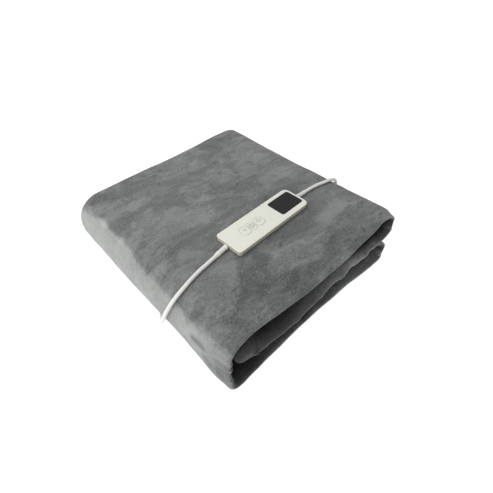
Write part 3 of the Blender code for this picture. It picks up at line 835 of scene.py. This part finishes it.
def upper_loop_point(turn, y, front_depth, back_depth):
    flap = flap_middle(UPPER_LOOP_X, front_depth, back_depth) + HALF_GAP
    top = top_height(UPPER_LOOP_X, y, front_depth)
    near_end = near(front_depth, LOOP_CORNER_LENGTH)
    reach = UPPER_LOOP_DEPTH - UPPER_LOOP_PULL * near_end - back_pull(back_depth)
    pressed = near(front_depth, FLAP_DEPTH)
    squareness = mix(LOOP_SQUARENESS, FRONT_LOOP_SQUARENESS, pressed)
    middle, half = (top + flap) / 2, (top - flap) / 2
    sag = LOOP_SAG * near_end
    x, z = fold_point(UPPER_LOOP_X, middle, reach, half, turn, squareness, sag)
    return x + ripple(turn, UPPER_RIPPLES, front_depth), z


def wrap_point(turn, y, front_depth, back_depth):
    top = top_height(WRAP_X, y, front_depth)
    middle, half = (top + BOTTOM_Z) / 2, (top - BOTTOM_Z) / 2
    near_front = near(front_depth, CORNER_LENGTH)
    drawn = WRAP_DRAW * (1 + near_front + fade(y, WRAP_DRAW_FADE))
    reach = drawn + back_pull(back_depth) - WRAP_DEPTH
    front_squareness = FRONT_SQUARENESS if turn < 0 else FRONT_SQUARENESS_LOW
    pressed = near(front_depth, FLAP_DEPTH)
    squareness = mix(FOLD_SQUARENESS, front_squareness, pressed)
    return fold_point(WRAP_X, middle, reach, half, -turn, squareness)


def lower_loop_point(turn, front_depth, back_depth):
    flap = flap_middle(LOWER_LOOP_X, front_depth, back_depth) - HALF_GAP
    middle, half = (flap + BOTTOM_Z) / 2, (flap - BOTTOM_Z) / 2
    near_end = near(front_depth, LOOP_CORNER_LENGTH)
    reach = LOWER_LOOP_DEPTH - LOWER_LOOP_PULL * near_end - back_pull(back_depth)
    squareness = mix(LOOP_SQUARENESS, FRONT_LOOP_SQUARENESS, near_end)
    x, z = fold_point(LOWER_LOOP_X, middle, reach, half, turn, squareness)
    return x + ripple(turn, LOWER_RIPPLES, front_depth), z


def section_point(run, share, y, front_depth, back_depth):
    """(x, z) of the middle of the sheet, at a share of the way along one run."""
    turn = math.pi * (share - 0.5)
    if run == "upper flap":
        x = mix(UPPER_HEM_X, UPPER_LOOP_X, share)
        height = flap_middle(x, front_depth, back_depth) + HALF_GAP
        return x, height - roll_drop(x, front_depth)
    if run == "upper loop":
        return upper_loop_point(turn, y, front_depth, back_depth)
    if run == "top":
        x = mix(UPPER_LOOP_X, WRAP_X, share)
        return x, top_height(x, y, front_depth)
    if run == "wrap":
        return wrap_point(turn, y, front_depth, back_depth)
    if run == "bottom":
        return mix(WRAP_X, LOWER_LOOP_X, share), BOTTOM_Z
    if run == "lower loop":
        return lower_loop_point(turn, front_depth, back_depth)
    x = mix(LOWER_LOOP_X, LOWER_HEM_X, share)
    return x, flap_middle(x, front_depth, back_depth) - HALF_GAP


def through_three(start, middle, end, share):
    """A parabola through three values at shares 0, 1/2 and 1."""
    bow = 4 * (middle - (start + end) / 2)
    return mix(start, end, share) + bow * share * (1 - share)


SheetPoint = namedtuple("SheetPoint", "run place depth hem_share thin")


def across_stations(half_thickness):
    """Where the columns of the sheet lie between its rims: a share and an offset."""
    turns = [math.pi / 2 * k / RIM_CELLS for k in range(RIM_CELLS + 1)]
    rim = [half_thickness * (1 - math.cos(turn)) for turn in turns]
    fine = [half_thickness + FRONT_CELL * k for k in range(1, FRONT_CELLS + 1)]
    front = [(0.0, depth) for depth in rim + fine]
    back = [(1.0, -depth) for depth in reversed(rim)]
    shares = [cell / INNER_CELLS for cell in range(1, INNER_CELLS)]
    inner = [(share, mix(fine[-1], -half_thickness, share)) for share in shares]
    return front + inner + back


def sheet_point(run, after, share, across):
    """A point of the sheet's middle, and its depth from the nearer side rim."""
    share_across, offset = across
    front = through_three(run.front, run.front_middle, after.front, share)
    back = through_three(run.back, run.back_middle, after.back, share)
    if run.name == "upper flap":
        from_hem = share * (UPPER_LOOP_X - UPPER_HEM_X)
        turned = max(1 - from_hem / NOSE_ROUND, 0.0)
        front += NOSE_ROUND * (1 - math.sqrt(1 - turned * turned))
    if run.name == "lower flap":
        x = mix(LOWER_LOOP_X, LOWER_HEM_X, share)
        front += LOWER_FLAP_RECESS * rolled_share(x)
    y = mix(front, back, share_across) + offset
    x, z = section_point(run.name, share, y, y - front, back - y)
    place = Vector((x, y, z))
    depth = min(y - front, back - y)
    wander = noise.noise(Vector((x * STRAY_SCALE, z * STRAY_SCALE, STRAY_SLICE)))
    stray = wander * STRAY * near(depth, STRAY_DEPTH)
    place.y += stray if share_across < 0.5 else -stray
    return place, depth


def sheet_column(across):
    """One column of the sheet from hem to hem, its points evenly spaced."""
    points = []
    for run, after in zip(RUNS, RUNS[1:] + (STRIP_END,)):
        fine = [
            sheet_point(run, after, step / FINE, across)[0] for step in range(FINE + 1)
        ]
        places = even_places(lengths_along(fine), run.cells)
        if after is not STRIP_END:
            places.pop()
        for k, share_past in places:
            share = min((k + share_past) / FINE, 1.0)
            middle, depth = sheet_point(run, after, share, across)
            hem = {"upper flap": share, "lower flap": 1 - share}.get(run.name, 1.0)
            thin = mix(run.thin, after.thin, share)
            points.append(SheetPoint(run.name, middle, depth, hem, thin))
    return points


def side_offsets(point, half):
    """How far the outer and the inner side lie from the middle of the sheet."""
    thinned = point.thin * near(point.depth, RIM_GROW)
    rim_half = mix(half, RIM_HALF, thinned)
    from_hem = point.hem_share * (UPPER_LOOP_REACH - UPPER_HEM_X)
    edge = min(point.depth, from_hem)
    short = max(1 - edge / rim_half, 0.0)
    round_share = math.sqrt(max(1 - short * short, 0.0))
    centre = half - rim_half
    return centre + rim_half * round_share, centre - rim_half * round_share


def marked(place, marks):
    """The amounts of the marks at a place, added up."""
    total = 0.0
    for mark in marks:
        start = Vector((mark.x1, mark.y1, mark.z1)) * MM
        line = Vector((mark.x2, mark.y2, mark.z2)) * MM - start
        reach = place - start
        if reach.length > line.length + 3 * mark.width * MM:
            continue
        share = min(max(reach.dot(line) / line.length_squared, 0.0), 1.0)
        apart = (reach - line * share).length / (mark.width * MM)
        total += mark.amount * math.exp(-apart * apart)
    return total


def wrap_sheen_depth(place):
    """How far a place lies inside the painted sheen of the wrapping fold, in metres along
    X.
    """
    if place.x > WRAP_SIDE_X:
        return FAR_FROM_WRAP
    y = place.y / MM
    for one, other in zip(WRAP_SHEEN_BOUNDARY, WRAP_SHEEN_BOUNDARY[1:]):
        if y <= other[0]:
            break
    boundary = mix(one[1], other[1], fade(y, (one[0], other[0]))) * MM
    return max(boundary - place.x, min(SHEEN_BELOW - place.z, SHEEN_MOST))


def nap_and_painted_light(place):
    """Painted light: the top is painted lighter towards the back; the marks' nap patches
    and painted shade come on top of that.
    """
    lie = PAINTED_BACK_LIGHT * fade(place.y, PAINTED_BACK_LIGHT_FADE) if place.z > ON_TOP else 0.0
    return lie + marked(place, NAP_AND_SHADE_MARKS)


def near_loop(x):
    """Towards the upper loop its mouth narrows, and the painted light reaches less far in.
    """
    return fade(x, MOUTH_FADE)


def painted_fold_shade(point, on_rim):
    """How far a place between the folds takes the painted shade of the inner tint."""
    x, _, z = point.place
    if on_rim and z > ON_TOP:
        return 0.0
    above_slit = point.run in ("upper flap", "upper loop")
    kept = KEPT_ABOVE_SLIT if above_slit else KEPT_ELSEWHERE
    rightward = fade(x, RIGHTWARD_FADE)
    rim = mix(kept.rim_left, kept.rim_right, rightward)
    deep = mix(kept.deep_left, kept.deep_right, rightward)
    reach = INNER_REACH[0]
    if above_slit:
        deep = mix(deep, KEPT_IN_MOUTH, near_loop(x))
        reach = mix(*INNER_REACH, near_loop(x))
    if point.run in SHADE_UNDER_LAYER:
        under = SHADE_UNDER_LAYER[point.run]
        share = fade(z, under.heights)
        rim, deep = mix(rim, under.rim, share), mix(deep, under.deep, share)
    return 1 - mix(rim, deep, ease((point.depth - INNER_START) / reach))


def flap_painted_light_and_shade(point):
    """Painted light on the front of the upper flap towards the loops, and painted shade
    along its creases.
    """
    if point.run != "upper flap":
        return 0.0
    x = point.place.x
    reach = mix(*FLAP_PAINTED_LIGHT_REACH, near_loop(x))
    brushed = FLAP_PAINTED_LIGHT * fade(x, FLAP_PAINTED_LIGHT_FADE) * near(point.depth, reach)
    return brushed + marked(point.place, FLAP_CREASE_SHADE)


def build_throw(cloth, finish):
    half = cloth.thickness / 2
    columns = [sheet_column(across) for across in across_stations(half)]
    count = len(columns[0])
    width = len(columns)
    shape = bmesh.new()
    layers = shape.verts.layers.float
    # between holds the painted shade between the folds, pale the painted sheen of the
    # wrapping fold, and nap the nap patches with painted light and shade
    between, pale, nap = (layers.new(name) for name in ("between", "pale", "nap"))
    sides = ([], [])
    for j, column in enumerate(columns):
        before, after = columns[max(j - 1, 0)], columns[min(j + 1, width - 1)]
        for i, point in enumerate(column):
            place = point.place
            along = column[min(i + 1, count - 1)].place - column[max(i - 1, 0)].place
            normal = (after[i].place - before[i].place).cross(along).normalized()
            middle = place + normal * marked(place, CREASES) * MM
            outer_by, inner_by = side_offsets(point, half)
            rim = j in (0, width - 1) or i in (0, count - 1)
            outer = shape.verts.new(middle + normal * outer_by)
            sides[0].append(outer)
            outer[pale] = wrap_sheen_depth(place)
            outer[nap] = nap_and_painted_light(place)
            outer[between] = painted_fold_shade(point, True) if rim else 0.0
            if rim:
                sides[1].append(outer)
                continue
            inner = shape.verts.new(middle + normal * inner_by)
            inner[between] = painted_fold_shade(point, False)
            inner[pale] = FAR_FROM_WRAP
            # painted light and crease shade on the front of the upper flap
            inner[nap] = flap_painted_light_and_shade(point)
            sides[1].append(inner)
    for side in sides:
        for j in range(width - 1):
            for i in range(count - 1):
                a = j * count + i
                ring = (side[a], side[a + 1], side[a + count + 1], side[a + count])
                shape.faces.new(ring if side is sides[0] else ring[::-1])
    add_pile(shape, cloth)
    throw = add_piece("throw_cloth", shape, finish, ["throw"], sharp=180)
    return throw


def add_pile(shape, cloth):
    """Moves the surface a little along its normals, as brushed pile stands."""
    shape.normal_update()
    moves = []
    for vert in shape.verts:
        place = vert.co
        swell = sum(noise.noise(place * scale) * share for scale, share in SWELLS)
        moves.append(vert.normal * swell * cloth.swell)
    for vert, move in zip(shape.verts, moves):
        vert.co += move
        vert.co.z = max(vert.co.z, FLOOR_GAP)


# ---- the controller ----


def on_controller(along, across, height):
    """The place in the frame of a place on the controller."""
    middle_x, middle_y = CONTROLLER_MIDDLE
    cos, sin = math.cos(CONTROLLER_TURN), math.sin(CONTROLLER_TURN)
    return (
        middle_x + along * cos - across * sin,
        middle_y + along * sin + across * cos,
        height,
    )


def rounded_outline(length, width, corner, steps):
    """Points round a rounded rectangle about the origin."""
    points = []
    for quarter, (sx, sy) in enumerate(((1, 1), (-1, 1), (-1, -1), (1, -1))):
        centre_x, centre_y = sx * (length / 2 - corner), sy * (width / 2 - corner)
        for step in range(steps + 1):
            angle = math.pi / 2 * (quarter + step / steps)
            x = centre_x + corner * math.cos(angle)
            points.append((x, centre_y + corner * math.sin(angle)))
    return points


def add_stroke(shape, points, width, surface, rise, closed):
    """A flat line along points on the controller, raised from a surface."""
    low, high = surface - LINE_SINK, surface + rise
    count = len(points)
    rows = []
    for k, (x, y) in enumerate(points):
        before = points[k - 1] if closed or k else points[k]
        after = points[(k + 1) % count] if closed or k < count - 1 else points[k]
        way = Vector((after[0] - before[0], after[1] - before[1])).normalized()
        corners = ((1, low), (1, high), (-1, high), (-1, low))
        rows.append([
            shape.verts.new(on_controller(
                x - side * way.y * width / 2, y + side * way.x * width / 2, height
            ))
            for side, height in corners
        ])
    for row, after in zip(rows, rows[1:] + rows[:1] if closed else rows[1:]):
        for k in range(4):
            m = (k + 1) % 4
            shape.faces.new((row[k], row[m], after[m], after[k]))
    if not closed:
        shape.faces.new(rows[0])
        shape.faces.new(rows[-1][::-1])


def arc(middle, radius, start, end, steps=28):
    """Points along an arc; start and end are in degrees."""
    turns = [math.radians(mix(start, end, step / steps)) for step in range(steps + 1)]
    return [
        (middle[0] + radius * math.cos(turn), middle[1] + radius * math.sin(turn))
        for turn in turns
    ]


def icon(name, strokes, finish, body):
    """A small printed sign on a key; a stroke whose ends meet is closed."""
    shape = bmesh.new()
    for points in strokes:
        closed = (Vector(points[0]) - Vector(points[-1])).length < MERGE_WITHIN
        points = points[:-1] if closed else points
        add_stroke(shape, points, SIGN_LINE, KEY_TOP, SIGN_RISE, closed)
    add_piece(name, shape, finish, sharp=0, body=body)


# ---- the operators ----


class ClothSettings(bpy.types.PropertyGroup):
    """The plush throw."""

    thickness: FloatProperty(
        name="Thickness", description="Thickness of the doubled throw",
        default=9 * MM, min=0, unit="LENGTH",
    )
    pile: FloatVectorProperty(
        name="Pile", description="Colour of the pile as it lies",
        default=(0.172, 0.178, 0.176), size=3, subtype="COLOR",
    )
    brushed: FloatVectorProperty(
        name="Brushed", description="Where the pile is brushed up",
        default=(0.275, 0.282, 0.279), size=3, subtype="COLOR",
    )
    shaded: FloatVectorProperty(
        name="Shaded", description="Where the pile is pressed down",
        default=(0.085, 0.09, 0.09), size=3, subtype="COLOR",
    )
    # painted shade between the folds
    painted_fold_shade_tint: FloatVectorProperty(
        name="Inner Tint", description="Multiplies the colour between the folds",
        default=(0.05, 0.048, 0.046), size=3, subtype="COLOR",
    )
    # painted sheen on the wrapping fold
    painted_sheen_tint: FloatVectorProperty(
        name="Pale Tint", description="Multiplies the colour on the wrapping fold",
        default=(2.0, 2.0, 1.96), size=3, min=0, soft_max=3,
    )
    pile_height: FloatProperty(
        name="Pile Height", description="Depth of the fibres",
        default=1.2 * MM, min=0, unit="LENGTH",
    )
    swell: FloatProperty(
        name="Swell", description="Slow unevenness of the surface",
        default=0.7 * MM, min=0, unit="LENGTH",
    )


class ControllerSettings(bpy.types.PropertyGroup):
    """The hand controller."""

    shell: FloatVectorProperty(
        name="Shell", description="Colour of the moulded shell",
        default=(0.84, 0.845, 0.76), size=3, subtype="COLOR",
    )
    window: FloatVectorProperty(
        name="Window", description="Colour of the display window",
        default=(0.014, 0.0155, 0.014), size=3, subtype="COLOR",
    )
    sign: FloatVectorProperty(
        name="Sign", description="Colour of the signs printed on the keys",
        default=(0.17, 0.175, 0.16), size=3, subtype="COLOR",
    )


class LeadSettings(bpy.types.PropertyGroup):
    """The two leads and the plug."""

    diameter: FloatProperty(
        name="Diameter", description="Diameter of both leads",
        default=5.5 * MM, min=0, unit="LENGTH",
    )
    sheath: FloatVectorProperty(
        name="Sheath", description="Colour of the sheath",
        default=(0.83, 0.83, 0.80), size=3, subtype="COLOR",
    )


class StageSettings(bpy.types.PropertyGroup):
    """The floor, lights and camera."""

    floor: FloatVectorProperty(
        name="Floor", description="Colour of the floor and surroundings",
        default=(0.95, 0.95, 0.95), size=3, subtype="COLOR",
    )
    lens: FloatProperty(
        name="Lens", description="Focal length of the camera in millimetres",
        default=25.63, min=1,
    )
    pitch: FloatProperty(
        name="Pitch", description="How far the camera looks down",
        default=math.radians(46.6), subtype="ANGLE",
    )
    power: IntProperty(
        name="Power", description="Power of each light in watts",
        default=5, min=0,
    )


class THROW_OT_stage(bpy.types.Operator):
    """Add the camera, the soft lights and the pale floor"""

    bl_idname = "throw.stage"
    bl_label = "Stage"

    def execute(self, context):
        stage = context.scene.throw_stage
        scene = context.scene
        forward = Vector(CAMERA_HEADING).normalized() * math.cos(stage.pitch)
        forward.z = -math.sin(stage.pitch)
        camera = bpy.data.cameras.new("camera")
        camera.sensor_width = SENSOR_WIDTH
        camera.lens = stage.lens
        holder = bpy.data.objects.new("camera", camera)
        holder.location = CAMERA_PLACE
        holder.rotation_mode = "QUATERNION"
        holder.rotation_quaternion = forward.to_track_quat("-Z", "Y")
        scene.collection.objects.link(holder)
        scene.camera = holder
        scene.view_settings.view_transform = "Standard"
        scene.view_settings.look = "None"
        for row in LIGHTS:
            self.add_light(row, stage.power)
        world = bpy.data.worlds.new("surroundings")
        world.use_nodes = True
        background = world.node_tree.nodes["Background"]
        background.inputs["Color"].default_value = solid_colour(stage.floor)
        background.inputs["Strength"].default_value = SURROUNDINGS
        scene.world = world
        self.add_floor(stage)
        return {"FINISHED"}

    def add_light(self, row, power):
        light = bpy.data.lights.new(row.name, "AREA")
        light.energy = power
        light.shape = "DISK"
        light.size = row.size
        item = bpy.data.objects.new(row.name, light)
        item.location = row.place
        item.rotation_mode = "QUATERNION"
        aim = Vector(LIGHT_AIM) - Vector(row.place)
        item.rotation_quaternion = aim.to_track_quat("-Z", "Y")
        bpy.context.scene.collection.objects.link(item)

    def add_floor(self, stage):
        shape = bmesh.new()
        bmesh.ops.create_grid(shape, x_segments=1, y_segments=1, size=FLOOR_HALF)
        mesh = bpy.data.meshes.new("floor")
        shape.to_mesh(mesh)
        shape.free()
        finish, shader, start, place = new_finish("floor_paper")
        tones = place.noise(3).tint(*two_tones(stage.floor, *FLOOR_TONES))
        connect(shader, Base_Color=tones)
        shader.inputs["Roughness"].default_value = 1.0
        shader.inputs["Specular IOR Level"].default_value = 0.0
        shader.inputs["Emission Color"].default_value = (1, 1, 1, 1)
        shader.inputs["Emission Strength"].default_value = FLOOR_GLOW
        mesh.materials.append(finish)
        floor = bpy.data.objects.new("floor", mesh)
        bpy.context.scene.collection.objects.link(floor)


class THROW_OT_leads(bpy.types.Operator):
    """Add both leads, their strain reliefs and the boot, and finish the plug"""

    bl_idname = "throw.leads"
    bl_label = "Leads"

    def execute(self, context):
        settings = context.scene.throw_leads
        sheath = sheath_finish(settings)
        self.blanket_lead(settings, sheath)
        self.mains_lead(settings, sheath)
        return {"FINISHED"}

    def blanket_lead(self, settings, sheath):
        exit_place = on_controller(
            -CONTROLLER_LENGTH / 2, BLANKET_EXIT_ACROSS, LEAD_EXIT_Z
        )
        lathe("blanket_relief", BLANKET_RELIEF, sheath, exit_place,
              BLANKET_EXIT_WAY, ["blanket_lead_relief"])
        points = smooth_route(BLANKET_LEAD_ROUTE, LEAD_STEP)
        lead = tube("blanket_cord", points, settings.diameter, sheath, ["blanket_lead"])
        boot = lathe("blanket_boot", BLANKET_BOOT, sheath, BOOT_FACE,
                     (0, 1, 0), ["blanket_lead_boot"])
        route_length(points)

    def mains_lead(self, settings, sheath):
        exit_place = on_controller(CONTROLLER_LENGTH / 2, MAINS_EXIT_ACROSS, LEAD_EXIT_Z)
        lathe("mains_relief", MAINS_RELIEF, sheath, exit_place,
              MAINS_EXIT_WAY, ["mains_lead_relief"])
        points = smooth_route(MAINS_LEAD_ROUTE, LEAD_STEP) + self.coil_points()
        points += smooth_route(MAINS_TAIL_ROUTE, LEAD_STEP)
        lead = tube("mains_cord", points, settings.diameter, sheath,
                    ["mains_lead_run", "mains_lead_coil", "mains_lead_tail"])
        for name in ("plug_relief", "plug_body"):
            self.dress(name, sheath)
        metal = pin_finish()
        for name in ("plug_pin_left", "plug_pin_right"):
            self.dress(name, metal)
        route_length(points)

    def dress(self, name, finish):
        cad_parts[name].data.materials[0] = finish

    def coil_points(self):
        """Clockwise turns from above, each easing over into the next one."""
        points = []
        total = len(COIL_TURNS) * TURN_POINTS
        for step in range(1, total):
            turn = step / TURN_POINTS
            index = min(int(turn), len(COIL_TURNS) - 1)
            now = COIL_TURNS[index]
            after = COIL_TURNS[min(index + 1, len(COIL_TURNS) - 1)]
            move = ease((turn - index - 1 + COIL_SHIFT) / COIL_SHIFT)
            radius = mix(now.radius, after.radius, move)
            z = mix(now.z, after.z, move)
            angle = math.pi - 2 * math.pi * turn
            x = COIL_MIDDLE[0] + radius * math.cos(angle)
            points.append(Vector((x, COIL_MIDDLE[1] + radius * math.sin(angle), z)))
        return points


class THROW_OT_cloth(bpy.types.Operator):
    """Add the folded throw as one sheet of plush"""

    bl_idname = "throw.cloth"
    bl_label = "Cloth"

    def execute(self, context):
        cloth = context.scene.throw_cloth
        build_throw(cloth, plush_finish(cloth))
        return {"FINISHED"}


class THROW_OT_controller(bpy.types.Operator):
    """Finish the hand controller, its window and its keys"""

    bl_idname = "throw.controller"
    bl_label = "Controller"

    def execute(self, context):
        panel = context.scene.throw_controller
        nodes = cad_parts
        shell = plastic_finish("ivory_shell", panel.shell, 0.45, 0.00003)
        keys = plastic_finish("key_caps", panel.shell, 0.5, 0.00002)
        for name in ("controller_base", "controller_cover"):
            nodes[name].data.materials[0] = shell
        nodes["display_window"].data.materials[0] = window_finish(panel)
        for name in ("key_power", "key_heat", "key_timer"):
            nodes[name].data.materials[0] = keys
        self.key_pad(shell)
        self.signs(plastic_finish("sign_print", panel.sign, 0.6, 0.00002))
        return {"FINISHED"}

    def key_pad(self, shell):
        """The low line moulded round the keys."""
        outline = rounded_outline(
            KEY_PAD_LENGTH, KEY_PAD_WIDTH, KEY_PAD_CORNER, KEY_PAD_STEPS
        )
        points = [(KEY_PAD[0] + x, KEY_PAD[1] + y) for x, y in outline]
        shape = bmesh.new()
        add_stroke(shape, points, KEY_PAD_LINE, COVER_TOP, KEY_PAD_RISE, True)
        add_piece("key_pad", shape, shell, sharp=30)

    def signs(self, ink):
        """A power sign, rings for the heat and a clock for the timer."""
        x, y = POWER_SIGN
        ring = arc(POWER_SIGN, POWER_RADIUS, *POWER_RING)
        bar = [(x, y + height) for height in POWER_BAR]
        icon("power_sign", (ring, bar), ink, "power_key_body")
        rings = [arc(HEAT_SIGN, radius, 0, 360) for radius in HEAT_RADII]
        icon("heat_sign", rings, ink, "heat_key_body")
        x, y = TIMER_SIGN
        ring = arc(TIMER_SIGN, TIMER_RADIUS, 0, 360)
        hands = ((x - TIMER_HANDS[0], y), (x, y), (x, y + TIMER_HANDS[1]))
        icon("timer_sign", (ring, hands), ink, "timer_key_body")


class THROW_PT_panel(bpy.types.Panel):
    """Lists the throw's operators and their settings"""

    bl_label = "Heated Throw"
    bl_space_type = "VIEW_3D"
    bl_region_type = "UI"
    bl_category = "Throw"

    def draw(self, context):
        for operator, settings in PARTS:
            box = self.layout.box()
            box.operator(operator.bl_idname)
            group = getattr(context.scene, settings)
            for name in group.bl_rna.properties.keys():
                if name not in ("rna_type", "name"):
                    box.prop(group, name)


PARTS = (
    (THROW_OT_stage, "throw_stage"),
    (THROW_OT_leads, "throw_leads"),
    (THROW_OT_cloth, "throw_cloth"),
    (THROW_OT_controller, "throw_controller"),
)
SETTINGS = {
    "throw_stage": StageSettings,
    "throw_leads": LeadSettings,
    "throw_cloth": ClothSettings,
    "throw_controller": ControllerSettings,
}


def register():
    for name, group in SETTINGS.items():
        bpy.utils.register_class(group)
        setattr(bpy.types.Scene, name, PointerProperty(type=group))
    for operator, _ in PARTS:
        bpy.utils.register_class(operator)
    bpy.utils.register_class(THROW_PT_panel)


def unregister():
    bpy.utils.unregister_class(THROW_PT_panel)
    for operator, _ in reversed(PARTS):
        bpy.utils.unregister_class(operator)
    for name, group in SETTINGS.items():
        delattr(bpy.types.Scene, name)
        bpy.utils.unregister_class(group)


def main():
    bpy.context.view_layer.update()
    register()
    bpy.ops.throw.stage()
    bpy.ops.throw.leads()
    bpy.ops.throw.cloth()
    bpy.ops.throw.controller()


if __name__ == "__main__":
    main()
